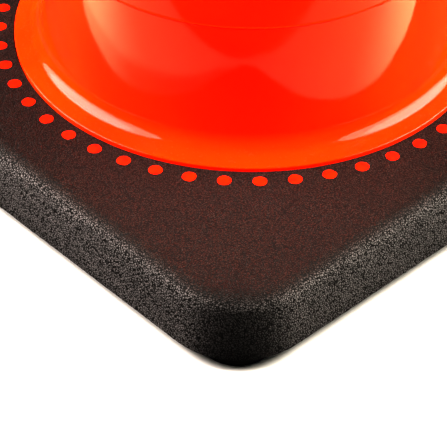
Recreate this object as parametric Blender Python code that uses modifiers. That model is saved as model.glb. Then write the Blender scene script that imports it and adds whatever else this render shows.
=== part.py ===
"""Traffic cone, 36 inch: a glossy orange PVC cone held in a square black base by 48 locking studs.

Metres, +Z up. The origin is on the ground under the cone's axis. The base's sides are parallel to X and Y.
The cone enters the base from below: its foot fills the base's opening and its flange lies under the deck.
Each stud has a round head under the flange, passes up through flange and deck, and ends flush with it.
"""

import math

import bmesh
import bpy
from mathutils import Matrix, Vector

# Whole cone
HEIGHT = 0.9144
GAP = 0.0003  # between pieces that touch
OVERLAP = 0.001  # how far joined shapes and cutters reach past a face

# Base
BASE_SIDE = 0.3556
BASE_CORNER_RADIUS = 0.0406
PAD_HEIGHT = 0.0060  # the feet, below the skirt's rim
RIM_TO_DECK = 0.0336
DECK_Z = PAD_HEIGHT + RIM_TO_DECK
DECK_THICKNESS = 0.0090
DECK_UNDERSIDE = DECK_Z - DECK_THICKNESS
SIDE_LEAN = 0.0030  # how far each side leans in from rim to deck
TOP_EDGE_RADIUS = 0.0100
SKIRT_THICKNESS = 0.0128
CORNER_STEPS = 10
POCKET_CORNER_STEPS = 6
TOP_EDGE_STEPS = 5

# Ribs under the deck
RIB_THICKNESS = 0.0060
RIB_BOTTOM = 0.0120
RIB_TO_FLANGE = 0.0015
RIB_ANGLES = (-15, 15, 45)  # in each quarter, in degrees from a side's middle

# Feet, four at the corners and four at the middles of the sides
PAD_RADIUS = 0.0190
PAD_TOP = 0.0195  # below the stud heads, and below where the leaning corner would cross the foot
CORNER_PAD_OFFSET = 0.1508  # along X and along Y
SIDE_PAD_OFFSET = 0.1545
PAD_SIDES = 28

# Locking studs
STUD_COUNT = 48
STUD_RING_RADIUS = 0.1384
STUD_TOP_RADIUS = 0.0037
STUD_SHANK_RADIUS = 0.0030
COUNTERSINK_DEPTH = 0.0030
STUD_HEAD_RADIUS = 0.0058
STUD_HEAD_THICKNESS = 0.0030
STUD_SIDES = 10

# Cone
FOOT_RADIUS = 0.1302
FOOT_RISE = 0.0018  # the foot's edge above the deck
FOOT_EDGE_RADIUS = 0.0014
FOOT_EDGE_TURN = math.radians(75)  # how far the rounded edge turns, from upright to the sloping brim
COLLAR_THICKNESS = 0.0050  # of the foot's upright part, in the base's opening
FLANGE_RADIUS = 0.1466
FLANGE_THICKNESS = 0.0045
WALL_FOOT_RADIUS = 0.1151  # the wall's line carried down to the deck
WALL_TOP_RADIUS = 0.0320
SWELL_RADIUS = 0.4200  # the gentle arc by which the wall begins to spread
SWELL_HEIGHT = 0.0400  # above the deck
FILLET_HEIGHT = 0.0122  # above the deck, where the tight arc into the brim takes over
CUFF_RADIUS = 0.0310
CUFF_HEIGHT = 0.0480
BEAD_RADIUS = 0.0026
BEAD_START = math.radians(72)  # the bead's arc, in radians from outwards towards up
BEAD_END = math.radians(-54)
RIM_RADIUS = 0.0020
WALL_THICKNESS = 0.0036
CUFF_THICKNESS = 0.0050
CONE_SIDES = 48
FLANGE_HOLE_SIDES = 8

CUFF_BOTTOM = HEIGHT - CUFF_HEIGHT
FLANGE_TOP = DECK_UNDERSIDE - GAP
FLANGE_BOTTOM = FLANGE_TOP - FLANGE_THICKNESS
WALL_LEAN = (WALL_FOOT_RADIUS - WALL_TOP_RADIUS) / (CUFF_BOTTOM - DECK_Z)

ORANGE = (0.93, 0.055, 0.004, 1.0)
BLACK = (0.022, 0.017, 0.015, 1.0)


def clear_scene():
    for obj in list(bpy.data.objects):
        bpy.data.objects.remove(obj, do_unlink=True)


def make_collection(name):
    collection = bpy.data.collections.new(name)
    bpy.context.scene.collection.children.link(collection)
    return collection


def make_material(name, colour, roughness):
    material = bpy.data.materials.new(name)
    material.use_nodes = True
    shader = material.node_tree.nodes["Principled BSDF"]
    shader.inputs["Base Color"].default_value = colour
    shader.inputs["Roughness"].default_value = roughness
    shader.inputs["Metallic"].default_value = 0.0
    return material


def mesh_from(name, shape):
    mesh = bpy.data.meshes.new(name)
    shape.to_mesh(mesh)
    shape.free()
    return mesh


def add_part(name, mesh, collection, material):
    mesh.materials.append(material)
    part = bpy.data.objects.new(name, mesh)
    collection.objects.link(part)
    return part


def add_helper(name, shape, collection):
    """A shape that only cuts or joins."""
    helper = bpy.data.objects.new(name, mesh_from(name, shape))
    helper.hide_render = True
    helper.display_type = "WIRE"
    collection.objects.link(helper)
    return helper


def add_boolean(part, helper, operation):
    modifier = part.modifiers.new(helper.name, "BOOLEAN")
    modifier.operation = operation
    modifier.object = helper


def add_rounded_box(shape, half_low, half_high, low, high, corner_radius, corner_steps):
    """A square block whose half side goes from half_low to half_high, with rounded upright edges."""
    for vert in bmesh.ops.create_cube(shape, size=2)["verts"]:
        is_high = vert.co.z > 0
        half = half_high if is_high else half_low
        vert.co = (vert.co.x * half, vert.co.y * half, high if is_high else low)
    upright = [edge for edge in shape.edges if edge.verts[0].co.z != edge.verts[1].co.z]
    bmesh.ops.bevel(
        shape, geom=upright, offset=corner_radius, segments=corner_steps, profile=0.5, affect="EDGES"
    )


def add_peg(shape, levels, sides, place):
    """A round peg through (z, radius) levels, from the bottom up."""
    low, low_radius = levels[0]
    z, radius = levels[1]
    bmesh.ops.create_cone(
        shape, cap_ends=True, segments=sides, radius1=low_radius, radius2=radius, depth=z - low,
        matrix=Matrix.Translation((0, 0, (low + z) / 2)),
    )
    top = max(shape.faces, key=lambda face: face.calc_center_median().z)
    for next_z, next_radius in levels[2:]:
        top = bmesh.ops.extrude_discrete_faces(shape, faces=[top])["faces"][0]
        for vert in top.verts:
            vert.co = (vert.co.x * next_radius / radius, vert.co.y * next_radius / radius, next_z)
        radius = next_radius
    bmesh.ops.transform(shape, matrix=place, verts=shape.verts)


def pegs(places, levels, sides):
    """The same peg at every place, in one shape."""
    joined = bmesh.new()
    for place in places:
        single = bmesh.new()
        add_peg(single, levels, sides, place)
        mesh = mesh_from("peg", single)
        joined.from_mesh(mesh)
        bpy.data.meshes.remove(mesh)
    return joined


def stud_places():
    """No stud stands on the X or Y axis or on a diagonal: the ring starts half a space off the axis."""
    space = 2 * math.pi / STUD_COUNT
    out = Matrix.Translation((STUD_RING_RADIUS, 0, 0))
    return [Matrix.Rotation((number + 0.5) * space, 4, "Z") @ out for number in range(STUD_COUNT)]


def quarter_turns():
    return [Matrix.Rotation(math.radians(angle), 4, "Z") for angle in (0, 90, 180, 270)]


# Base


def base_block():
    """The outer form: leaning sides, rounded corners and a rounded top edge."""
    shape = bmesh.new()
    half = BASE_SIDE / 2
    add_rounded_box(shape, half, half - SIDE_LEAN, PAD_HEIGHT, DECK_Z, BASE_CORNER_RADIUS, CORNER_STEPS)
    rim = [edge for edge in shape.edges if all(abs(vert.co.z - DECK_Z) < GAP for vert in edge.verts)]
    bmesh.ops.bevel(
        shape, geom=rim, offset=TOP_EDGE_RADIUS, segments=TOP_EDGE_STEPS, profile=0.5, affect="EDGES"
    )
    return shape


def pocket():
    """The hollow under the deck, inside the skirt."""
    shape = bmesh.new()
    half = BASE_SIDE / 2 - SKIRT_THICKNESS
    corner_radius = BASE_CORNER_RADIUS - SKIRT_THICKNESS
    add_rounded_box(shape, half, half, 0, DECK_UNDERSIDE, corner_radius, POCKET_CORNER_STEPS)
    return shape


def rib(turn, angle):
    """A rib under the deck, from beside the flange to the skirt, or at 45 degrees to the corner's foot."""
    start = FLANGE_RADIUS + RIB_TO_FLANGE
    if angle == 45:
        end = CORNER_PAD_OFFSET * math.sqrt(2)
    else:
        end = (BASE_SIDE - SKIRT_THICKNESS) / 2 / math.cos(math.radians(angle))
    top = DECK_UNDERSIDE + OVERLAP
    size = Matrix.Diagonal((end - start, RIB_THICKNESS, top - RIB_BOTTOM, 1))
    place = Matrix.Translation(((start + end) / 2, 0, (top + RIB_BOTTOM) / 2))
    aside = Matrix.Rotation(math.radians(angle), 4, "Z")
    shape = bmesh.new()
    bmesh.ops.create_cube(shape, size=1, matrix=turn @ aside @ place @ size)
    return shape


def make_base(parts, helpers, material):
    base = add_part("base", mesh_from("base", base_block()), parts, material)
    add_boolean(base, add_helper("pocket", pocket(), helpers), "DIFFERENCE")

    for quarter, turn in enumerate(quarter_turns()):
        for angle in RIB_ANGLES:
            add_boolean(base, add_helper(f"rib_{quarter}_{angle}", rib(turn, angle), helpers), "UNION")

    corner = Matrix.Translation((CORNER_PAD_OFFSET, CORNER_PAD_OFFSET, 0))
    side = Matrix.Translation((SIDE_PAD_OFFSET, 0, 0))
    feet = [turn @ place for turn in quarter_turns() for place in (corner, side)]
    foot_levels = [(0, PAD_RADIUS), (PAD_TOP, PAD_RADIUS)]
    add_boolean(base, add_helper("feet", pegs(feet, foot_levels, PAD_SIDES), helpers), "UNION")

    opening_radius = FOOT_RADIUS + GAP
    opening_levels = [(DECK_UNDERSIDE - OVERLAP, opening_radius), (DECK_Z + OVERLAP, opening_radius)]
    opening = pegs([Matrix.Identity(4)], opening_levels, CONE_SIDES)
    add_boolean(base, add_helper("opening", opening, helpers), "DIFFERENCE")

    spread = (STUD_TOP_RADIUS - STUD_SHANK_RADIUS) / COUNTERSINK_DEPTH
    hole_levels = [
        (DECK_UNDERSIDE - OVERLAP, STUD_SHANK_RADIUS + GAP),
        (DECK_Z - COUNTERSINK_DEPTH, STUD_SHANK_RADIUS + GAP),
        (DECK_Z + OVERLAP, STUD_TOP_RADIUS + GAP + spread * OVERLAP),
    ]
    holes = pegs(stud_places(), hole_levels, STUD_SIDES)
    add_boolean(base, add_helper("deck_holes", holes, helpers), "DIFFERENCE")


# Locking studs


def make_studs(parts, material):
    head_top = FLANGE_BOTTOM - GAP
    levels = [
        (head_top - STUD_HEAD_THICKNESS, STUD_HEAD_RADIUS),
        (head_top, STUD_HEAD_RADIUS),
        (head_top, STUD_SHANK_RADIUS),
        (DECK_Z - COUNTERSINK_DEPTH, STUD_SHANK_RADIUS),
        (DECK_Z, STUD_TOP_RADIUS),
    ]
    for number, place in enumerate(stud_places(), start=1):
        shape = bmesh.new()
        add_peg(shape, levels, STUD_SIDES, Matrix.Identity(4))
        name = f"locking_stud_{number:02d}"
        stud = add_part(name, mesh_from(name, shape), parts, material)
        stud.matrix_world = place
        stud.data.shade_smooth()
        stud.data.set_sharp_from_angle(angle=math.radians(35))


# Cone


def arc(centre, radius, start, end, steps):
    """Points (r, z) from angle start to angle end, in radians from outwards towards up."""
    turns = [start + (end - start) * step / steps for step in range(steps + 1)]
    return [(centre[0] + radius * math.cos(turn), centre[1] + radius * math.sin(turn)) for turn in turns]


def wall_radius(z):
    """The wall's outer radius."""
    return WALL_FOOT_RADIUS - WALL_LEAN * (z - DECK_Z)


def foot_edge(turn):
    """The point (r, z) of the foot's rounded edge at an angle from outwards towards up."""
    r = FOOT_RADIUS - FOOT_EDGE_RADIUS + FOOT_EDGE_RADIUS * math.cos(turn)
    return r, DECK_Z + FOOT_RISE - FOOT_EDGE_RADIUS + FOOT_EDGE_RADIUS * math.sin(turn)


def square_to(turn):
    """The outward direction (r, z) of a surface, turned from outwards towards up."""
    return Vector((math.cos(turn), math.sin(turn)))


def swell():
    """The centre of the wall's gentle arc and the angles its surface faces at the arc's two ends."""
    lean = math.atan(WALL_LEAN)
    swell_top = Vector((wall_radius(DECK_Z + SWELL_HEIGHT), DECK_Z + SWELL_HEIGHT))
    end = math.asin(math.sin(lean) + (SWELL_HEIGHT - FILLET_HEIGHT) / SWELL_RADIUS)
    return swell_top + SWELL_RADIUS * square_to(lean), lean, end


def fillet():
    """The centre and radius of the tight arc that joins the swell to the brim's slope."""
    swell_centre, _, turn = swell()
    start = swell_centre - SWELL_RADIUS * square_to(turn)
    drop = (start - Vector(foot_edge(FOOT_EDGE_TURN))).dot(square_to(FOOT_EDGE_TURN))
    radius = drop / (1 - math.cos(FOOT_EDGE_TURN - turn))
    return start + radius * square_to(turn), radius


def cone_profile():
    """(r, z) down the outside from the top rim to the flange, then up the inside."""
    quarter = math.pi / 2
    swell_centre, lean, swell_end = swell()
    fillet_centre, fillet_radius = fillet()
    wall_turn, middle_turn, brim_turn = (math.pi + turn for turn in (lean, swell_end, FOOT_EDGE_TURN))
    brim_r, brim_z = foot_edge(FOOT_EDGE_TURN)
    cuff_inside = CUFF_RADIUS - CUFF_THICKNESS
    collar_inside = FOOT_RADIUS - COLLAR_THICKNESS
    brim_under = WALL_THICKNESS / math.sin(FOOT_EDGE_TURN)
    brim_inside = brim_z - brim_under + (brim_r - collar_inside) / math.tan(FOOT_EDGE_TURN)

    outside = arc((CUFF_RADIUS - RIM_RADIUS, HEIGHT - RIM_RADIUS), RIM_RADIUS, quarter, 0, 3)
    outside += [(CUFF_RADIUS, CUFF_BOTTOM + 2 * BEAD_RADIUS)]
    outside += arc((CUFF_RADIUS, CUFF_BOTTOM), BEAD_RADIUS, BEAD_START, BEAD_END, 5)
    outside += arc(swell_centre, SWELL_RADIUS, wall_turn, middle_turn, 2)
    outside += arc(fillet_centre, fillet_radius, middle_turn, brim_turn, 7)[1:]
    outside += [foot_edge(FOOT_EDGE_TURN * share) for share in (1, 2 / 3, 1 / 3, 0)]
    flange = [
        (FOOT_RADIUS, FLANGE_TOP),
        (FLANGE_RADIUS, FLANGE_TOP),
        (FLANGE_RADIUS, FLANGE_BOTTOM),
        (collar_inside, FLANGE_BOTTOM),
    ]
    inside = [(collar_inside, brim_inside)]
    inside += arc(fillet_centre, fillet_radius + WALL_THICKNESS, brim_turn, middle_turn, 6)
    inside += arc(swell_centre, SWELL_RADIUS + WALL_THICKNESS, middle_turn, wall_turn, 2)[1:]
    inside += [(wall_radius(CUFF_BOTTOM) - WALL_THICKNESS, CUFF_BOTTOM - 2 * BEAD_RADIUS)]
    inside += [(cuff_inside, CUFF_BOTTOM)]
    inside += arc((cuff_inside + RIM_RADIUS, HEIGHT - RIM_RADIUS), RIM_RADIUS, math.pi, quarter, 2)
    return outside + flange + inside


def make_cone(parts, helpers, material):
    shape = bmesh.new()
    corners = [shape.verts.new((r, 0, z)) for r, z in cone_profile()]
    for here, following in zip(corners, corners[1:] + corners[:1]):
        shape.edges.new((here, following))
    cone = add_part("cone_body", mesh_from("cone_body", shape), parts, material)
    turn = cone.modifiers.new("turn", "SCREW")
    turn.steps = CONE_SIDES
    turn.render_steps = CONE_SIDES
    turn.use_merge_vertices = True
    turn.merge_threshold = 0.00001
    hole_radius = (STUD_SHANK_RADIUS + GAP) / math.cos(math.pi / FLANGE_HOLE_SIDES)
    hole_levels = [(FLANGE_BOTTOM - OVERLAP, hole_radius), (FLANGE_TOP + OVERLAP, hole_radius)]
    holes = pegs(stud_places(), hole_levels, FLANGE_HOLE_SIDES)
    add_boolean(cone, add_helper("flange_holes", holes, helpers), "DIFFERENCE")


def main():
    clear_scene()
    parts = make_collection("traffic_cone")
    helpers = make_collection("cutters")
    helpers.hide_render = True
    make_base(parts, helpers, make_material("black_pvc", BLACK, 0.55))
    make_cone(parts, helpers, make_material("orange_pvc", ORANGE, 0.2))
    make_studs(parts, make_material("stud_pvc", ORANGE, 0.35))


main()
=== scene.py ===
"""Looks of the traffic cone: a glossy orange PVC cone, a black base with leather grain, and the studs.

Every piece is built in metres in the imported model's own frame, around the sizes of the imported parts.
"""

import math

import bmesh
import bpy
from mathutils import Matrix, Quaternion, Vector, noise


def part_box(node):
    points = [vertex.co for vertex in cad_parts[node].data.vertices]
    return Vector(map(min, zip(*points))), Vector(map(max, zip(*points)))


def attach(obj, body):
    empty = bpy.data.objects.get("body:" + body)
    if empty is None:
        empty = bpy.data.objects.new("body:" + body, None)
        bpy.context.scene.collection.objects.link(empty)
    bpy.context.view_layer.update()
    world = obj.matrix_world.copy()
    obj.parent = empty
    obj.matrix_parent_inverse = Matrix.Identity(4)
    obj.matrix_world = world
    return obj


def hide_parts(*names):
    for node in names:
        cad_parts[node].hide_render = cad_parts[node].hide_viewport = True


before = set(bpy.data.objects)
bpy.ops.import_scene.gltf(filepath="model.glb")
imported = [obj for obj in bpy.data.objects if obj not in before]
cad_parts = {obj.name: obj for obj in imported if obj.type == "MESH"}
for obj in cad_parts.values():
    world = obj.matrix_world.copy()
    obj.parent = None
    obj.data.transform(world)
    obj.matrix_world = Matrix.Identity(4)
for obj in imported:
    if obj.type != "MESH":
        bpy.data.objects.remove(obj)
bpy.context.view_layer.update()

QUARTER = math.pi / 2

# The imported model's own sizes
BASE_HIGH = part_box("base")[1]
CONE_LOW, CONE_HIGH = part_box("cone_body")
STUD_NAMES = sorted(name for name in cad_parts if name.startswith("locking_stud"))
STUD_BOXES = [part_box(name) for name in STUD_NAMES]
STUD_CENTRES = [(low + high) / 2 for low, high in STUD_BOXES]
HALF_SIDE = BASE_HIGH.x
DECK_Z = BASE_HIGH.z
TOP_Z = CONE_HIGH.z
FLANGE_RADIUS = CONE_HIGH.x
FLANGE_BOTTOM = CONE_LOW.z
HEAD_BOTTOM = STUD_BOXES[0][0].z

# Base
PAD_HEIGHT = 0.0060  # the feet hold the rim this far off the ground
DECK_UNDERSIDE = DECK_Z - 0.0090
CORNER_RADIUS = 0.0406
SIDE_LEAN = 0.0030  # the skirt is this much narrower at the top, each side
TOP_EDGE_RADIUS = 0.0100
SKIRT_THICKNESS = 0.0128
RIM_EDGE_RADIUS = 0.0008
RIM_ROUGHNESS = 0.0005  # how far the moulding's trimmed edge wanders
WANDER_SCALE = 60
WANDER_SHARE = 0.35
NICK_SCALE = 420
NICK_SHIFT = Vector((7, 3, 1))
LOWEST_SIDE_RING = PAD_HEIGHT + 0.0040
INNER_EDGE_RADIUS = 0.0030
INNER_RIM_CHAMFER = 0.0010
OPENING_CHAMFER = 0.0004
STUD_RING_MARGIN = 0.0060  # the deck's mesh has a ring this far outside the studs' centres
UNDERSIDE_MARGIN = 0.0120  # and its underside has one this far outside the opening
RIB_THICKNESS = 0.0060
RIB_BOTTOM = 0.0120
RIB_ANGLES = (-15, 15, 45)
DIAGONAL = 45
RIB_GAP = 0.0015
RIB_EDGE = 0.0012
PAD_RADIUS = 0.0190
PAD_EDGE_RADIUS = 0.0012
CORNER_PAD_OFFSET = 0.1508
SIDE_PAD_OFFSET = 0.1545
PAD_TOP = 0.0195
OVERLAP = 0.0010  # how far solids reach into each other before they are joined or cut
BASE_STEPS = 1080  # points round the base
PAD_STEPS = 64

# Cone
FOOT_RADIUS = 0.1302
FOOT_GAP = 0.0003
FOOT_RISE = 0.0018
FOOT_EDGE_RADIUS = 0.0008
FOOT_EDGE_TURN = math.radians(75)  # square to the brim, which slopes 15 degrees
COLLAR_THICKNESS = 0.0050
COLLAR_CHAMFER = 0.0010
COLLAR_TOP_STEP = 0.0020
FLANGE_THICKNESS = 0.0045
FLANGE_CHAMFER = 0.0006
WALL_FOOT_RADIUS = 0.1151
WALL_TOP_RADIUS = 0.0320
WALL_THICKNESS = 0.0036
SWELL_RADIUS = 0.4200
SWELL_HEIGHT = 0.0400  # above the deck, where the straight wall starts to swell
FILLET_HEIGHT = 0.0122  # and where the tight fillet starts
CUFF_RADIUS = 0.0310
CUFF_THICKNESS = 0.0050
CUFF_BOTTOM = TOP_Z - 0.0480
BEAD_RADIUS = 0.0026
BEAD_TURN_START = math.radians(72)
BEAD_TURN_END = math.radians(-54)
RIM_RADIUS = 0.0020
WITNESS_Z = DECK_Z + 0.0730  # a fine line round the wall, where the mould's halves met
WITNESS_STEP = 0.00018
WITNESS_SHAPE = ((5, 0), (2.5, 0), (1, 1), (-1, 1), (-2.5, 0), (-5, 0), (-10, 0))  # steps up, steps out
WALL_LEAN = (WALL_FOOT_RADIUS - WALL_TOP_RADIUS) / (CUFF_BOTTOM - DECK_Z)
WOBBLE = 0.00008
WOBBLE_SCALE = 7
WOBBLE_START = 0.012  # above the deck
WOBBLE_GROWTH = 0.03
WOBBLE_TOP_FADE = 0.02
CONE_STEPS = 240
WALL_STEPS = 24

# Studs
SHANK_RADIUS = 0.0030
HEAD_RADIUS = 0.0058
HEAD_THICKNESS = 0.0030
HEAD_CHAMFER = 0.0005
STUD_TOP_RADIUS = 0.0037
STUD_PROUD = 0.00016
STUD_SWING = 0.07  # how far from round the tips are
CROWN_SHARE = 0.82
MIDDLE_SHARE = 0.40
MIDDLE_SWING = 0.10
MIDDLE_RISE = 0.00012
LOBE_SCALE = 1.3
SEED_STRIDE = 1.7
RISE_STRIDE = 3.1
HOLE_GAP = 0.0001
HOLE_MOUTH_RADIUS = 0.0038
HOLE_MOUTH_FLARE = 0.0004
HOLE_TAPER = 0.0030
STUD_STEPS = 40
CONE_HOLE_STEPS = 24

# Light and camera, by compass angles from -Y towards +X
CAMERA_AZIMUTH = math.radians(46.79)
CAMERA_ELEVATION = math.radians(40.71)
CAMERA_ROLL = math.radians(0.30)
CAMERA_DISTANCE = 1.0648
CAMERA_TARGET = Vector((0.1155, -0.1272, DECK_Z))
CAMERA_LENS = 172.9
SENSOR_WIDTH = 36
CLIP_START = 0.01
VIEW_GAMMA = 0.75  # deepens the darker tones
LAMP_DISTANCE = 1.5
WORLD_COLOUR = (0.9, 0.93, 1.0, 1)
WORLD_STRENGTH = 0.015

# Lamps: name, degrees from the camera, height in degrees, slant, size, watts and colour
LAMPS = (
    ("left_softbox", -98, 44, 30, (1.56, 1.20), 56, (1.0, 0.91, 0.80)),
    ("left_core", -103, 44, 30, (1.04, 0.92), 25, (1.0, 0.88, 0.86)),
    ("right_softbox", 99, 44, -30, (1.54, 1.18), 48, (1.0, 0.95, 0.78)),
    ("right_core", 104, 44, -30, (1.02, 0.90), 24, (1.0, 0.88, 0.84)),
)
WARM_FILL = ("warm_fill", 0, 50, 0, (1.0, 1.0), 34, (1.0, 0.02, 0.005))

# Floor: the camera sees one sheet, and the cone's gloss sees a glowing one and a dark card round it, a
# painted dark reflection
FLOOR_SIZE = 6
MIRRORED_FLOOR_Z = 0.0002
DARK_CARD_Z = 0.0005
TABLE_FRONT = 0.3135
TABLE_SIDE = 0.36
TABLE_TURN = math.radians(-5)
DARK_CARD_REACH = 5.0
GLOW_STRENGTH = 9.0

# The glow by distance in front of the cone's axis: it dims, and then darkens a little more
DIMMING = (0.06, 0.21)
DIMMED = (0.82, 0.23)
DARKENING = (0.20, 0.31)
DARKENED = (0.0, 0.07)

# The base's shadow on it: its two ends along X, its bent edge along Y and its depth
SHADOW_RIGHT = (0.16, 0.21)
SHADOW_LEFT = (-0.08, 0.0)
SHADOW_EDGE = (-0.270, -0.259)
SHADOW_BEND_X = 0.04
SHADOW_DEPTH = 0.85

# Colours, as linear light
ORANGE = (1.0, 0.052, 0.0006, 1)
DEEP_ORANGE = (0.97, 0.036, 0.0004, 1)
INSIDE_ORANGE = (0.86, 0.045, 0.003, 1)
DEEP_INSIDE_ORANGE = (0.70, 0.030, 0.003, 1)
STUD_ORANGE = (0.95, 0.024, 0.001, 1)
DEEP_STUD_ORANGE = (0.80, 0.012, 0.001, 1)
DUST = (0.42, 0.30, 0.22, 1)
BLACK = (0.0030, 0.0021, 0.0018, 1)
FLOW_BLACK = (0.035, 0.031, 0.028, 1)
# Painted light on the grain's peaks: the cone's orange bounce on the deck, the softboxes' sheen on the
# skirt
DECK_PAINTED_BOUNCE = (0.047, 0.0205, 0.0150, 1)
SKIRT_PAINTED_SHEEN = (0.320, 0.297, 0.297, 1)
FLOOR_GREY = (0.93, 0.93, 0.93, 1)
FLOOR_WHITE = (0.96, 0.96, 0.96, 1)
# A painted dark reflection, seen only in the cone's gloss
DARK_CARD = (0.004, 0.004, 0.004, 1)
NO_GLOW = (0.0, 0.0, 0.0, 1)
GLOW = (1.0, 0.95, 0.42, 1)

# Leather grain
BOSS_SIZE = 0.00116
WORM_SIZE = 0.00074
WARP_SIZE = 0.0018
WARP_REACH = 0.0007
GRAIN_DEPTH = 0.00040
SHOULDER = (DECK_Z - 0.0045, DECK_Z - 0.0005)  # heights where the skirt's painted sheen gives way to the deck's painted bounce
CORNER_BAND = (HALF_SIDE - 0.042, HALF_SIDE - 0.018)  # where the grain's painted sheen fades into painted shade at the corners
# Share of the painted sheen left at the corners, as painted shade
CORNER_PAINTED_SHADE = 0.4

# How strongly the plastic bends light
PVC_IOR = 1.5
INSIDE_IOR = 1.54


# Shapes


def steady(reach):
    """The same distance from the axis in every direction."""
    return lambda angle: reach


def rounded_square(half, radius):
    """Distance from the axis to a square with rounded corners."""
    inner = half - radius

    def reach(angle):
        c, s = abs(math.cos(angle)), abs(math.sin(angle))
        flat = half / max(c, s)
        if flat * min(c, s) <= inner:
            return flat
        return inner * (c + s) + math.sqrt(radius**2 - inner**2 * (1 - 2 * c * s))

    return reach


def evenly(start, end, steps):
    """Values from start to end in equal steps, with both ends."""
    return [start + (end - start) * step / steps for step in range(steps + 1)]


def arc(centre, radius, start, end, steps):
    """Points (r, z) from angle start to angle end, in radians from outwards towards up."""
    r, z = centre
    turns = evenly(start, end, steps)
    return [(r + radius * math.cos(turn), z + radius * math.sin(turn)) for turn in turns]


def loft(shape, rings, steps, closed):
    """Quads through rings of (reach, z, material index). If closed, the last ring joins the first."""
    loops = []
    for reach, z, _ in rings:
        loop = []
        for step in range(steps):
            angle = 2 * math.pi * step / steps
            away = reach(angle)
            loop.append(shape.verts.new((away * math.cos(angle), away * math.sin(angle), z)))
        loops.append(loop)
    pairs = list(zip(loops, loops[1:]))
    if closed:
        pairs.append((loops[-1], loops[0]))
    for number, (upper, lower) in enumerate(pairs):
        for step in range(steps):
            following = (step + 1) % steps
            face = shape.faces.new((upper[step], lower[step], lower[following], upper[following]))
            face.material_index = rings[number][2]
    if not closed:
        shape.faces.new(loops[0]).material_index = rings[0][2]
        shape.faces.new(list(reversed(loops[-1]))).material_index = rings[-1][2]


def shade(mesh, sharp=40):
    """Smooth shading, but for edges that turn by more than an angle in degrees."""
    mesh.shade_smooth()
    mesh.set_sharp_from_angle(angle=math.radians(sharp))


def new_object(name, shape, materials=()):
    """Turns a shape into an object, its faces turned outwards, and frees the shape."""
    bmesh.ops.recalc_face_normals(shape, faces=shape.faces)
    mesh = bpy.data.meshes.new(name)
    shape.to_mesh(mesh)
    shape.free()
    for material in materials:
        mesh.materials.append(material)
    result = bpy.data.objects.new(name, mesh)
    bpy.context.scene.collection.objects.link(result)
    return result


def finish_mesh(name, shape, materials, sharp=40):
    """An object with its materials and its shading."""
    piece = new_object(name, shape, materials)
    shade(piece.data, sharp)
    return piece


def cut(piece, other, operation):
    """Applies a Boolean and removes the other shape."""
    modifier = piece.modifiers.new("cut", "BOOLEAN")
    modifier.operation = operation
    modifier.object = other
    graph = bpy.context.evaluated_depsgraph_get()
    result = bpy.data.meshes.new_from_object(piece.evaluated_get(graph))
    piece.modifiers.clear()
    old = piece.data
    piece.data = result
    bpy.data.meshes.remove(old)
    bpy.data.objects.remove(other)


def peg(levels, steps, place):
    """A round solid through (radius, z) levels from the top down, at a place."""
    shape = bmesh.new()
    loft(shape, [(steady(radius), z, 0) for radius, z in levels], steps, closed=False)
    bmesh.ops.transform(shape, matrix=Matrix.Translation(place), verts=shape.verts)
    return shape


def many(shapes):
    """One shape that holds them all."""
    joined = bmesh.new()
    for shape in shapes:
        mesh = bpy.data.meshes.new("part")
        shape.to_mesh(mesh)
        shape.free()
        joined.from_mesh(mesh)
        bpy.data.meshes.remove(mesh)
    return joined


def stud_pegs(levels, steps):
    """One peg at each stud."""
    return many([peg(levels, steps, (centre.x, centre.y, 0)) for centre in STUD_CENTRES])


# Base


def rough_edge(reach, amount):
    """The trimmed lower edge of the moulding, which wanders a little and has small nicks."""

    def wandering(angle):
        distance = reach(angle)
        spot = Vector((math.cos(angle), math.sin(angle), 0)) * distance
        slow = noise.noise(spot * WANDER_SCALE)
        fast = noise.noise(spot * NICK_SCALE + NICK_SHIFT)
        nicks = 0.9 * max(0.0, fast - 0.15) - 0.5 * max(0.0, -fast - 0.3)
        return distance + amount * (WANDER_SHARE * slow + nicks)

    return wandering


def base_rings():
    """Down the outside from the opening's edge, up inside the skirt and back under the deck."""
    top_half = HALF_SIDE - SIDE_LEAN
    lean = math.atan(SIDE_LEAN / (DECK_Z - PAD_HEIGHT))
    opening = FOOT_RADIUS + FOOT_GAP
    rings = [
        (steady(opening), DECK_Z - OPENING_CHAMFER, 0),
        (steady(opening + OPENING_CHAMFER), DECK_Z, 0),
        (steady(STUD_CENTRES[0].xy.length + STUD_RING_MARGIN), DECK_Z, 0),
    ]
    flat_half = top_half - TOP_EDGE_RADIUS
    for r, z in arc((flat_half, DECK_Z - TOP_EDGE_RADIUS), TOP_EDGE_RADIUS, QUARTER, lean, steps=12):
        inset = top_half - r
        rings.append((rounded_square(r, CORNER_RADIUS - inset), z, 0))
    for z in evenly(DECK_Z - TOP_EDGE_RADIUS, LOWEST_SIDE_RING, steps=4)[1:-1]:
        half = HALF_SIDE - (z - PAD_HEIGHT) * math.tan(lean)
        rings.append((rounded_square(half, CORNER_RADIUS), z, 0))
    rim = (HALF_SIDE - RIM_EDGE_RADIUS, PAD_HEIGHT + RIM_EDGE_RADIUS)
    for r, z in arc(rim, RIM_EDGE_RADIUS, 0, -QUARTER, steps=4):
        rings.append((rough_edge(rounded_square(r, CORNER_RADIUS), RIM_ROUGHNESS), z, 0))
    inner = HALF_SIDE - SKIRT_THICKNESS
    inner_radius = CORNER_RADIUS - SKIRT_THICKNESS
    chamfered = rounded_square(inner + INNER_RIM_CHAMFER, inner_radius + INNER_RIM_CHAMFER)
    rings.append((chamfered, PAD_HEIGHT, 1))
    rings.append((rounded_square(inner, inner_radius), PAD_HEIGHT + INNER_RIM_CHAMFER, 1))
    inner_edge = (inner - INNER_EDGE_RADIUS, DECK_UNDERSIDE - INNER_EDGE_RADIUS)
    for r, z in arc(inner_edge, INNER_EDGE_RADIUS, 0, QUARTER, steps=4):
        rings.append((rounded_square(r, inner_radius - (inner - r)), z, 1))
    rings.append((steady(opening + UNDERSIDE_MARGIN), DECK_UNDERSIDE, 1))
    rings.append((steady(opening), DECK_UNDERSIDE, 1))
    return rings


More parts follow.
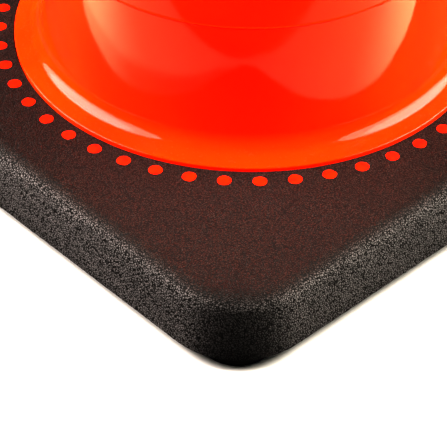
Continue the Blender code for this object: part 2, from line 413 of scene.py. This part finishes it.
def pads():
    """Eight round feet with softened lower edges, at the corners and at the middles of the sides."""
    levels = [(PAD_RADIUS, PAD_TOP)]
    levels += arc((PAD_RADIUS - PAD_EDGE_RADIUS, PAD_EDGE_RADIUS), PAD_EDGE_RADIUS, 0, -QUARTER, steps=5)
    shapes = []
    for quarter in range(4):
        turn = Matrix.Rotation(quarter * QUARTER, 3, "Z")
        shapes.append(peg(levels, PAD_STEPS, turn @ Vector((CORNER_PAD_OFFSET, CORNER_PAD_OFFSET, 0))))
        shapes.append(peg(levels, PAD_STEPS, turn @ Vector((SIDE_PAD_OFFSET, 0, 0))))
    return many(shapes)


def rib(quarter, angle):
    """A bar from near the flange to the skirt or to a corner's foot, its lower edges softened."""
    start = FLANGE_RADIUS + RIB_GAP
    if angle == DIAGONAL:
        end = CORNER_PAD_OFFSET * math.sqrt(2)
    else:
        end = (HALF_SIDE - SKIRT_THICKNESS / 2) / math.cos(math.radians(angle))
    top = DECK_UNDERSIDE + OVERLAP
    middle = (top + RIB_BOTTOM) / 2
    turn = Matrix.Rotation(quarter * QUARTER + math.radians(angle), 4, "Z")
    place = Matrix.Translation(((start + end) / 2, 0, middle))
    size = Matrix.Diagonal((end - start, RIB_THICKNESS, top - RIB_BOTTOM, 1))
    shape = bmesh.new()
    bmesh.ops.create_cube(shape, size=1, matrix=place @ size)
    lower = [edge for edge in shape.edges if all(vert.co.z < middle for vert in edge.verts)]
    bmesh.ops.bevel(shape, geom=lower, offset=RIB_EDGE, segments=3, profile=0.5, affect="EDGES")
    bmesh.ops.transform(shape, matrix=turn, verts=shape.verts)
    return shape


def make_base(materials):
    """The base: its shell, joined with its ribs and feet, then cut through for the studs."""
    shape = bmesh.new()
    loft(shape, base_rings(), BASE_STEPS, closed=True)
    base = finish_mesh("base_shell", shape, materials)
    inside = many([rib(quarter, angle) for quarter in range(4) for angle in RIB_ANGLES])
    for added in (inside, pads()):
        for face in added.faces:
            face.material_index = 1
        cut(base, new_object("helper", added, materials), "UNION")
    hole = SHANK_RADIUS + HOLE_GAP
    levels = [
        (HOLE_MOUTH_RADIUS + HOLE_MOUTH_FLARE, DECK_Z + HOLE_MOUTH_FLARE),
        (HOLE_MOUTH_RADIUS, DECK_Z),
        (hole, DECK_Z - HOLE_TAPER),
        (hole, DECK_UNDERSIDE - OVERLAP),
    ]
    cut(base, new_object("helper", stud_pegs(levels, STUD_STEPS)), "DIFFERENCE")
    shade(base.data)
    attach(base, "root")
    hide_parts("base")


# Cone


def wall_radius(z):
    """The straight wall's outside radius at a height."""
    return WALL_FOOT_RADIUS - WALL_LEAN * (z - DECK_Z)


def foot_edge(turn):
    """The point (r, z) of the foot's rounded edge at an angle from outwards towards up."""
    r = FOOT_RADIUS - FOOT_EDGE_RADIUS + FOOT_EDGE_RADIUS * math.cos(turn)
    return r, DECK_Z + FOOT_RISE - FOOT_EDGE_RADIUS + FOOT_EDGE_RADIUS * math.sin(turn)


def square_to(turn):
    """The outward direction (r, z) of a surface, turned from outwards towards up."""
    return Vector((math.cos(turn), math.sin(turn)))


def swell():
    """The centre of the wall's gentle arc and the angles its surface faces at the arc's two ends."""
    lean = math.atan(WALL_LEAN)
    swell_top = Vector((wall_radius(DECK_Z + SWELL_HEIGHT), DECK_Z + SWELL_HEIGHT))
    end = math.asin(math.sin(lean) + (SWELL_HEIGHT - FILLET_HEIGHT) / SWELL_RADIUS)
    return swell_top + SWELL_RADIUS * square_to(lean), lean, end


def fillet():
    """The centre and radius of the tight arc that joins the swell to the brim's slope."""
    swell_centre, _, turn = swell()
    start = swell_centre - SWELL_RADIUS * square_to(turn)
    drop = (start - Vector(foot_edge(FOOT_EDGE_TURN))).dot(square_to(FOOT_EDGE_TURN))
    radius = drop / (1 - math.cos(FOOT_EDGE_TURN - turn))
    return start + radius * square_to(turn), radius


def blend(offset):
    """Points (r, z) down the swell and the fillet, on a surface pushed in from the outside."""
    swell_centre, lean, swell_end = swell()
    fillet_centre, fillet_radius = fillet()
    inward = 2 * QUARTER
    points = arc(swell_centre, SWELL_RADIUS + offset, inward + lean, inward + swell_end, steps=10)
    low_end = inward + FOOT_EDGE_TURN
    points += arc(fillet_centre, fillet_radius + offset, inward + swell_end, low_end, steps=32)[1:]
    return points


def outer_profile():
    """(r, z) down the outside, from the top rim to the foot's upright edge."""
    points = arc((CUFF_RADIUS - RIM_RADIUS, TOP_Z - RIM_RADIUS), RIM_RADIUS, QUARTER, 0, steps=8)
    points += [(CUFF_RADIUS, CUFF_BOTTOM + 2 * BEAD_RADIUS)]
    points += arc((CUFF_RADIUS, CUFF_BOTTOM), BEAD_RADIUS, BEAD_TURN_START, BEAD_TURN_END, steps=12)
    wall_top = CUFF_BOTTOM - 2 * BEAD_RADIUS
    points += [(wall_radius(z), z) for z in evenly(wall_top, WITNESS_Z, WALL_STEPS)[:-1]]
    for up, out in WITNESS_SHAPE:
        z = WITNESS_Z + up * WITNESS_STEP
        points.append((wall_radius(z) + out * WITNESS_STEP, z))
    low = points[-1][1]
    swell_top = DECK_Z + SWELL_HEIGHT
    points += [(wall_radius(z), z) for z in evenly(low, swell_top, steps=8)[1:-1]]
    points += blend(0)
    brim_start, brim_end = Vector(points[-1]), Vector(foot_edge(FOOT_EDGE_TURN))
    points += [tuple(brim_start.lerp(brim_end, share)) for share in (0.1, 0.3, 0.5, 0.7, 0.9)]
    points += [foot_edge(turn) for turn in evenly(FOOT_EDGE_TURN, 0, steps=8)]
    return points


def inner_profile():
    """(r, z) from the flange's top, round it and up the inside to the top rim."""
    collar = FOOT_RADIUS - COLLAR_THICKNESS
    cuff = CUFF_RADIUS - CUFF_THICKNESS
    brim_r, brim_z = foot_edge(FOOT_EDGE_TURN)
    under_brim = brim_z - WALL_THICKNESS / math.sin(FOOT_EDGE_TURN)
    under_brim += (brim_r - collar) / math.tan(FOOT_EDGE_TURN)
    flange_top = FLANGE_BOTTOM + FLANGE_THICKNESS
    points = [
        (FOOT_RADIUS, flange_top),
        (FLANGE_RADIUS - FLANGE_CHAMFER, flange_top),
        (FLANGE_RADIUS, flange_top - FLANGE_CHAMFER),
        (FLANGE_RADIUS, FLANGE_BOTTOM + FLANGE_CHAMFER),
        (FLANGE_RADIUS - FLANGE_CHAMFER, FLANGE_BOTTOM),
        (collar + COLLAR_CHAMFER, FLANGE_BOTTOM),
        (collar, FLANGE_BOTTOM + COLLAR_CHAMFER),
        (collar, under_brim - COLLAR_TOP_STEP),
        (collar, under_brim),
    ]
    points += blend(WALL_THICKNESS)[::-1]
    wall_top = CUFF_BOTTOM - 2 * BEAD_RADIUS
    low = points[-1][1]
    points += [(wall_radius(z) - WALL_THICKNESS, z) for z in evenly(low, wall_top, WALL_STEPS)[1:]]
    points += [(cuff, CUFF_BOTTOM)]
    points += arc((cuff + RIM_RADIUS, TOP_Z - RIM_RADIUS), RIM_RADIUS, 2 * QUARTER, QUARTER, steps=6)
    return points


def wobble(r, z):
    """A moulded wall is never perfectly round: it swings in and out by a fraction of a millimetre."""
    grown = min(1.0, max(0.0, (z - DECK_Z - WOBBLE_START) / WOBBLE_GROWTH))
    fade = grown * min(1.0, max(0.0, (TOP_Z - z) / WOBBLE_TOP_FADE))

    def reach(angle):
        spot = Vector((math.cos(angle) * r, math.sin(angle) * r, z)) * WOBBLE_SCALE
        return r + WOBBLE * fade * noise.noise(spot)

    return reach


def make_cone(materials):
    """The cone in one hollow piece, with holes through its flange for the studs."""
    rings = [(wobble(r, z), z, 0) for r, z in outer_profile()]
    rings += [(wobble(r, z), z, 1) for r, z in inner_profile()]
    shape = bmesh.new()
    loft(shape, rings, CONE_STEPS, closed=True)
    cone = finish_mesh("cone_shell", shape, materials)
    flange_top = FLANGE_BOTTOM + FLANGE_THICKNESS
    hole = SHANK_RADIUS + HOLE_GAP
    levels = [(hole, flange_top + OVERLAP), (hole, FLANGE_BOTTOM - OVERLAP)]
    cut(cone, new_object("helper", stud_pegs(levels, CONE_HOLE_STEPS)), "DIFFERENCE")
    shade(cone.data)
    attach(cone, "root")
    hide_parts("cone_body")
    return cone


# Studs


def uneven(radius, seed, amount):
    """A circle that swings in and out by a share of its radius, in its own way for each seed."""

    def reach(angle):
        spot = Vector((math.cos(angle), math.sin(angle), seed * SEED_STRIDE))
        return radius * (1 + amount * noise.noise(spot * LOBE_SCALE))

    return reach


def make_stud(number, name, centre, material):
    """A stud whose tip fills its hole up to the edge and stands a little proud, each one different."""
    tip = DECK_Z + STUD_PROUD
    lip = uneven(STUD_TOP_RADIUS, number, STUD_SWING)
    crown = uneven(STUD_TOP_RADIUS * CROWN_SHARE, number, STUD_SWING)
    middle = uneven(STUD_TOP_RADIUS * MIDDLE_SHARE, number, MIDDLE_SWING)
    rise = MIDDLE_RISE * noise.noise(Vector((number * RISE_STRIDE, 0.5, 0.2)))
    head_top = HEAD_BOTTOM + HEAD_THICKNESS
    rings = [
        (steady(0.0004), tip + 0.00005 + rise, 0),
        (middle, tip + 0.00004 + rise, 0),
        (crown, tip, 0),
        (lip, tip - STUD_PROUD * 0.45, 0),
        (lip, DECK_Z - 0.00002, 0),
        (steady(STUD_TOP_RADIUS - 0.0002), DECK_Z - 0.00012, 0),
        (steady(SHANK_RADIUS), DECK_Z - HOLE_TAPER, 0),
        (steady(SHANK_RADIUS), head_top, 0),
        (steady(HEAD_RADIUS - HEAD_CHAMFER), head_top, 0),
        (steady(HEAD_RADIUS), head_top - HEAD_CHAMFER, 0),
        (steady(HEAD_RADIUS), HEAD_BOTTOM + 0.0010, 0),
        (steady(HEAD_RADIUS - 0.0004), HEAD_BOTTOM + 0.0004, 0),
        (steady(HEAD_RADIUS - 0.0012), HEAD_BOTTOM, 0),
    ]
    shape = bmesh.new()
    loft(shape, rings, STUD_STEPS, closed=False)
    bmesh.ops.transform(shape, matrix=Matrix.Translation((centre.x, centre.y, 0)), verts=shape.verts)
    stud = finish_mesh(name.replace("locking_stud", "stud"), shape, [material], sharp=50)
    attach(stud, "root")
    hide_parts(name)


# Materials


class Nodes:
    """A new material's nodes: adds them, joins them and sets their values."""

    def __init__(self, name):
        self.material = bpy.data.materials.new(name)
        self.material.use_nodes = True
        self.tree = self.material.node_tree
        self.shader = self.tree.nodes["Principled BSDF"]
        self.place = self.add("ShaderNodeTexCoord").outputs["Object"]

    def add(self, kind, **values):
        """A new node with its settings."""
        node = self.tree.nodes.new(kind)
        for key, value in values.items():
            setattr(node, key, value)
        return node

    def put(self, socket, value):
        """Joins an output to a socket, or sets the socket to a fixed value."""
        if isinstance(value, bpy.types.NodeSocket):
            self.tree.links.new(value, socket)
        else:
            socket.default_value = value

    def surface(self, **values):
        """Sets the shader's sockets, named with underscores for spaces."""
        for name, value in values.items():
            self.put(self.shader.inputs[name.replace("_", " ")], value)

    def scaled(self, scale):
        """The place in the material's own space, stretched."""
        node = self.add("ShaderNodeMapping")
        self.put(node.inputs["Scale"], scale)
        self.put(node.inputs["Vector"], self.place)
        return node.outputs["Vector"]

    def noise(self, size, detail=3, rough=0.5, where=None):
        """Soft noise with features of a size in metres."""
        node = self.add("ShaderNodeTexNoise")
        self.put(node.inputs["Scale"], 1 / size)
        self.put(node.inputs["Detail"], detail)
        self.put(node.inputs["Roughness"], rough)
        self.put(node.inputs["Vector"], where or self.place)
        return node.outputs["Fac"]

    def cells(self, size, where):
        """Distance from the edges of cells of a size in metres."""
        node = self.add("ShaderNodeTexVoronoi", feature="DISTANCE_TO_EDGE")
        self.put(node.inputs["Scale"], 1 / size)
        self.put(node.inputs["Vector"], where)
        return node.outputs["Distance"]

    def warped(self, size, amount):
        """The place pushed about by noise, so that cells come out uneven."""
        push = self.noise(size, detail=2).node.outputs["Color"]
        middle = self.add("ShaderNodeVectorMath", operation="SUBTRACT")
        self.put(middle.inputs[0], push)
        self.put(middle.inputs[1], (0.5, 0.5, 0.5))
        node = self.add("ShaderNodeVectorMath", operation="MULTIPLY_ADD")
        self.put(node.inputs[0], middle.outputs[0])
        self.put(node.inputs[1], (amount, amount, amount))
        self.put(node.inputs[2], self.place)
        return node.outputs[0]

    def spread(self, value, source, target=(0, 1)):
        """Maps a value's range to another, eased at both ends and clamped."""
        node = self.add("ShaderNodeMapRange", interpolation_type="SMOOTHSTEP")
        self.put(node.inputs["Value"], value)
        self.put(node.inputs["From Min"], source[0])
        self.put(node.inputs["From Max"], source[1])
        self.put(node.inputs["To Min"], target[0])
        self.put(node.inputs["To Max"], target[1])
        return node.outputs["Result"]

    def maths(self, operation, first, second):
        """Maths on two values, each a number or an output."""
        node = self.add("ShaderNodeMath", operation=operation)
        self.put(node.inputs[0], first)
        self.put(node.inputs[1], second)
        return node.outputs[0]

    def mix(self, factor, first, second):
        """A colour between two others."""
        node = self.add("ShaderNodeMix", data_type="RGBA")
        self.put(node.inputs["Factor"], factor)
        self.put(node.inputs[6], first)
        self.put(node.inputs[7], second)
        return node.outputs[2]

    def bump(self, height, distance, strength=1.0, under=None):
        """Relief of a depth in metres, on top of another relief if one is given."""
        node = self.add("ShaderNodeBump")
        self.put(node.inputs["Strength"], strength)
        self.put(node.inputs["Distance"], distance)
        self.put(node.inputs["Height"], height)
        if under:
            self.put(node.inputs["Normal"], under)
        return node.outputs["Normal"]

    def along(self, axis):
        """The place's coordinate on one axis, by its letter."""
        node = self.add("ShaderNodeSeparateXYZ")
        self.put(node.inputs[0], self.place)
        return node.outputs[axis]


def orange_gloss():
    """Glossy flexible PVC: faint flow clouds, a hint of orange peel, and fine scuffs round the wall."""
    n = Nodes("orange_gloss_pvc")
    clouds = n.noise(0.09, detail=4)
    flow = n.noise(0.02, detail=3, where=n.scaled((1, 1, 0.12)))
    colour = n.mix(n.spread(clouds, (0.35, 0.65)), ORANGE, DEEP_ORANGE)
    colour = n.mix(n.spread(flow, (0.55, 0.8), (0, 0.25)), colour, DEEP_ORANGE)
    low = n.spread(n.along("Z"), (DECK_Z, DECK_Z + 0.012), (0.05, 0.0))
    specks = n.spread(n.noise(0.0016, detail=2), (0.58, 0.7))
    colour = n.mix(n.maths("MULTIPLY", low, specks), colour, DUST)
    n.surface(Base_Color=colour)
    smudge = n.noise(0.035, detail=5, rough=0.65)
    scuff = n.noise(0.004, detail=4, where=n.scaled((0.35, 0.35, 6)))
    gloss = n.spread(smudge, (0.35, 0.75), (0.05, 0.11))
    scuffs = n.spread(scuff, (0.62, 0.8), (0.0, 0.08))
    n.surface(Roughness=n.maths("ADD", gloss, scuffs))
    peel = n.noise(0.0045, detail=2)
    slow = n.noise(0.045, detail=1)
    under = n.bump(slow, 0.0003, 0.5)
    n.surface(Normal=n.bump(peel, 0.00002, 0.6, under))
    n.surface(IOR=PVC_IOR, Specular_IOR_Level=0.235)
    n.surface(Subsurface_Weight=0.12, Subsurface_Radius=(0.006, 0.0015, 0.0006), Subsurface_Scale=1.0)
    return n.material


def orange_inside():
    """The mould core's side: duller, with drag marks up the wall."""
    n = Nodes("orange_inside_pvc")
    drag = n.noise(0.006, detail=5, where=n.scaled((1, 1, 0.04)))
    clouds = n.noise(0.05, detail=4)
    colour = n.mix(n.spread(clouds, (0.35, 0.7)), INSIDE_ORANGE, DEEP_INSIDE_ORANGE)
    n.surface(Base_Color=colour)
    n.surface(Roughness=n.spread(drag, (0.3, 0.75), (0.30, 0.52)))
    n.surface(Normal=n.bump(drag, 0.00012, 0.5))
    n.surface(IOR=INSIDE_IOR)
    return n.material


def stud_orange():
    """The same PVC where it has flowed through: satin and a little blotchy."""
    n = Nodes("stud_orange_pvc")
    blotch = n.noise(0.004, detail=3)
    colour = n.mix(n.spread(blotch, (0.4, 0.7)), STUD_ORANGE, DEEP_STUD_ORANGE)
    n.surface(Base_Color=colour)
    n.surface(Roughness=n.spread(blotch, (0.3, 0.7), (0.30, 0.48)))
    n.surface(Normal=n.bump(n.noise(0.0012, detail=3), 0.00012, 0.6))
    n.surface(IOR=PVC_IOR, Specular_IOR_Level=0.12)
    return n.material


def leather_height(n):
    """Fine leather grain: bosses about 1.2 mm apart, some of them run together, with valleys between."""
    where = n.warped(WARP_SIZE, WARP_REACH)
    worms = n.noise(WORM_SIZE, detail=0, where=where)
    bosses = n.cells(BOSS_SIZE, where)
    height = n.spread(bosses, (0.03, 0.26), (0.0, 0.60))
    return n.maths("ADD", height, n.spread(worms, (0.38, 0.62), (0.0, 0.40)))


def away_from_corner(n):
    """1 on the flat sides and the deck, less where two sides meet: painted shade on the corners."""
    across = n.maths("ABSOLUTE", n.along("X"), 0)
    along = n.maths("ABSOLUTE", n.along("Y"), 0)
    lesser = n.maths("MINIMUM", across, along)
    return n.spread(lesser, CORNER_BAND, (1, CORNER_PAINTED_SHADE))


def black_grain():
    """Black PVC with leather grain and painted light on its peaks: grey sheen on the skirt, the cone's
    bounce on the deck.
    """
    n = Nodes("black_grain_pvc")
    height = leather_height(n)
    clouds = n.spread(n.noise(0.03, detail=5, rough=0.6), (0.35, 0.7), (0.78, 1))
    # The peaks' painted sheen, uneven in clouds and less at the corners
    painted_sheen_share = n.maths("MULTIPLY", clouds, away_from_corner(n))
    peaks = n.maths("MULTIPLY", n.spread(height, (0.36, 0.72)), painted_sheen_share)
    side = n.spread(n.along("Z"), SHOULDER, (1, 0))
    # Painted light: a grey sheen on the skirt, the cone's brown bounce on the deck
    painted_peak_colour = n.mix(side, DECK_PAINTED_BOUNCE, SKIRT_PAINTED_SHEEN)
    n.surface(Base_Color=n.mix(peaks, BLACK, painted_peak_colour))
    n.surface(Roughness=n.spread(height, (0.2, 0.9), (0.60, 0.34)))
    dents = n.noise(0.014, detail=2)
    under = n.bump(dents, 0.0004, 0.5)
    n.surface(Normal=n.bump(height, GRAIN_DEPTH, 1.0, under))
    n.surface(IOR=PVC_IOR, Specular_IOR_Level=0.20)
    return n.material


def black_plain():
    """The base's unseen side: plain moulded black with flow marks."""
    n = Nodes("black_plain_pvc")
    flow = n.noise(0.012, detail=5)
    n.surface(Base_Color=n.mix(n.spread(flow, (0.35, 0.7)), BLACK, FLOW_BLACK))
    n.surface(Roughness=n.spread(flow, (0.3, 0.7), (0.45, 0.68)))
    n.surface(Normal=n.bump(n.noise(0.0012, detail=4), 0.00012, 0.6))
    return n.material


def pale_floor():
    """A plain, nearly white floor with a faint cast."""
    n = Nodes("pale_floor")
    cast = n.noise(0.8, detail=2)
    n.surface(Base_Color=n.mix(n.spread(cast, (0.3, 0.7)), FLOOR_GREY, FLOOR_WHITE))
    n.surface(Roughness=0.7)
    return n.material


# Studio


def direction(azimuth, elevation):
    """The unit vector towards a compass angle and a height above the horizon."""
    level = math.cos(elevation)
    return Vector((math.sin(azimuth) * level, -math.cos(azimuth) * level, math.sin(elevation)))


def ground(name, material, z):
    """A flat square sheet at a height."""
    shape = bmesh.new()
    place = Matrix.Translation((0, 0, z))
    bmesh.ops.create_grid(shape, x_segments=1, y_segments=1, size=FLOOR_SIZE, matrix=place)
    floor = finish_mesh(name, shape, [material])
    return floor


def side_shadow(n):
    """The base's shadow along its left front side: 1 where it is deepest."""
    x, y = n.along("X"), n.along("Y")
    right = n.spread(x, SHADOW_RIGHT, (SHADOW_DEPTH, 0.0))
    left = n.spread(x, SHADOW_LEFT, (0.5, 1.0))
    from_bend = n.maths("SUBTRACT", x, SHADOW_BEND_X)
    edge = n.maths("SUBTRACT", y, n.maths("MULTIPLY", from_bend, from_bend))
    return n.maths("MULTIPLY", n.maths("MULTIPLY", right, left), n.spread(edge, SHADOW_EDGE))


def fading_floor():
    """A glowing floor: bright behind the cone, darker towards the camera and in the base's shadow."""
    n = Nodes("fading_floor")
    forward = n.add("ShaderNodeVectorMath", operation="DOT_PRODUCT")
    n.put(forward.inputs[0], n.place)
    n.put(forward.inputs[1], direction(CAMERA_AZIMUTH, 0))
    distance = forward.outputs["Value"]
    far = n.spread(distance, DIMMING, DIMMED)
    near = n.spread(distance, DARKENING, DARKENED)
    lit = n.maths("SUBTRACT", 1.0, side_shadow(n))
    light = n.maths("MULTIPLY", n.maths("SUBTRACT", far, near), lit)
    n.surface(Base_Color=light)
    n.surface(Emission_Color=n.mix(light, NO_GLOW, GLOW))
    n.surface(Emission_Strength=GLOW_STRENGTH, Roughness=0.8)
    return n.material


def light_only(lamp, receivers):
    """Keeps a light, or a glowing piece, off everything but the receivers."""
    lamp.light_linking.receiver_collection = receivers


def make_floor(receivers):
    """The pale floor that the camera sees, and the one that the cone's gloss mirrors."""
    floor = ground("floor", pale_floor(), 0)
    floor.visible_diffuse = False
    floor.visible_glossy = False
    mirrored = ground("floor_in_gloss", fading_floor(), MIRRORED_FLOOR_Z)
    mirrored.visible_camera = False
    mirrored.visible_diffuse = False
    mirrored.visible_shadow = False
    light_only(mirrored, receivers)


def make_dark_surround():
    """A dark card round the white table, which only the gloss sees: a painted dark reflection of the
    unlit studio.
    """
    front = direction(CAMERA_AZIMUTH + TABLE_TURN, 0)
    right = Vector((-front.y, front.x, 0))
    lift = Vector((0, 0, DARK_CARD_Z))
    near, side, far = TABLE_FRONT, TABLE_SIDE, DARK_CARD_REACH
    inner = [(-side, near), (side, near), (side, -side), (-side, -side)]
    outer = [(-far, far), (far, far), (far, -far), (-far, -far)]
    shape = bmesh.new()
    loops = []
    for corners in (inner, outer):
        loops.append([shape.verts.new(right * x + front * y + lift) for x, y in corners])
    for step in range(4):
        following = (step + 1) % 4
        shape.faces.new((loops[0][step], loops[0][following], loops[1][following], loops[1][step]))
    n = Nodes("dark_card")
    n.surface(Base_Color=DARK_CARD, Roughness=0.9)
    card = finish_mesh("dark_surround", shape, [n.material])
    card.visible_camera = False
    card.visible_diffuse = False
    card.visible_shadow = False


def softbox(name, azimuth, elevation, slant, size, power, colour):
    """A slanted oval light turned towards the cone's foot. Angles in degrees, from the camera's side."""
    light = bpy.data.lights.new(name, "AREA")
    light.shape = "ELLIPSE"
    light.size, light.size_y = size
    light.energy = power
    light.color = colour
    lamp = bpy.data.objects.new(name, light)
    target = Vector((0, 0, DECK_Z))
    toward = direction(CAMERA_AZIMUTH + math.radians(azimuth), math.radians(elevation))
    lamp.location = target + toward * LAMP_DISTANCE
    turn = toward.to_track_quat("Z", "Y") @ Quaternion((0, 0, 1), math.radians(slant))
    lamp.rotation_euler = turn.to_euler()
    bpy.context.scene.collection.objects.link(lamp)
    return lamp


def make_lights(receivers):
    """Two softboxes with brighter middles, a red fill on the receivers only, and a faint sky."""
    for lamp in LAMPS:
        softbox(*lamp)
    warm = softbox(*WARM_FILL)
    warm.visible_glossy = False
    light_only(warm, receivers)
    world = bpy.data.worlds.new("studio")
    world.use_nodes = True
    background = world.node_tree.nodes["Background"]
    background.inputs["Color"].default_value = WORLD_COLOUR
    background.inputs["Strength"].default_value = WORLD_STRENGTH
    bpy.context.scene.world = world


def make_camera():
    """The camera at the photo's angle, turned towards the deck's near corner."""
    camera = bpy.data.cameras.new("camera")
    camera.lens = CAMERA_LENS
    camera.sensor_width = SENSOR_WIDTH
    camera.clip_start = CLIP_START
    holder = bpy.data.objects.new("camera", camera)
    back = direction(CAMERA_AZIMUTH, CAMERA_ELEVATION)
    turn = back.to_track_quat("Z", "Y").to_matrix().to_4x4()
    roll = Matrix.Rotation(CAMERA_ROLL, 4, "Z")
    holder.matrix_world = Matrix.Translation(CAMERA_TARGET + back * CAMERA_DISTANCE) @ turn @ roll
    bpy.context.scene.collection.objects.link(holder)
    bpy.context.scene.camera = holder


def main():
    """Builds the whole scene."""
    scene = bpy.context.scene
    scene.view_settings.view_transform = "Standard"
    scene.view_settings.gamma = VIEW_GAMMA
    make_camera()
    make_dark_surround()
    make_base([black_grain(), black_plain()])
    cone = make_cone([orange_gloss(), orange_inside()])
    receivers = bpy.data.collections.new("only_the_cone")
    receivers.objects.link(cone)
    make_floor(receivers)
    make_lights(receivers)
    stud_material = stud_orange()
    for number, (name, centre) in enumerate(zip(STUD_NAMES, STUD_CENTRES)):
        make_stud(number, name, centre, stud_material)


main()
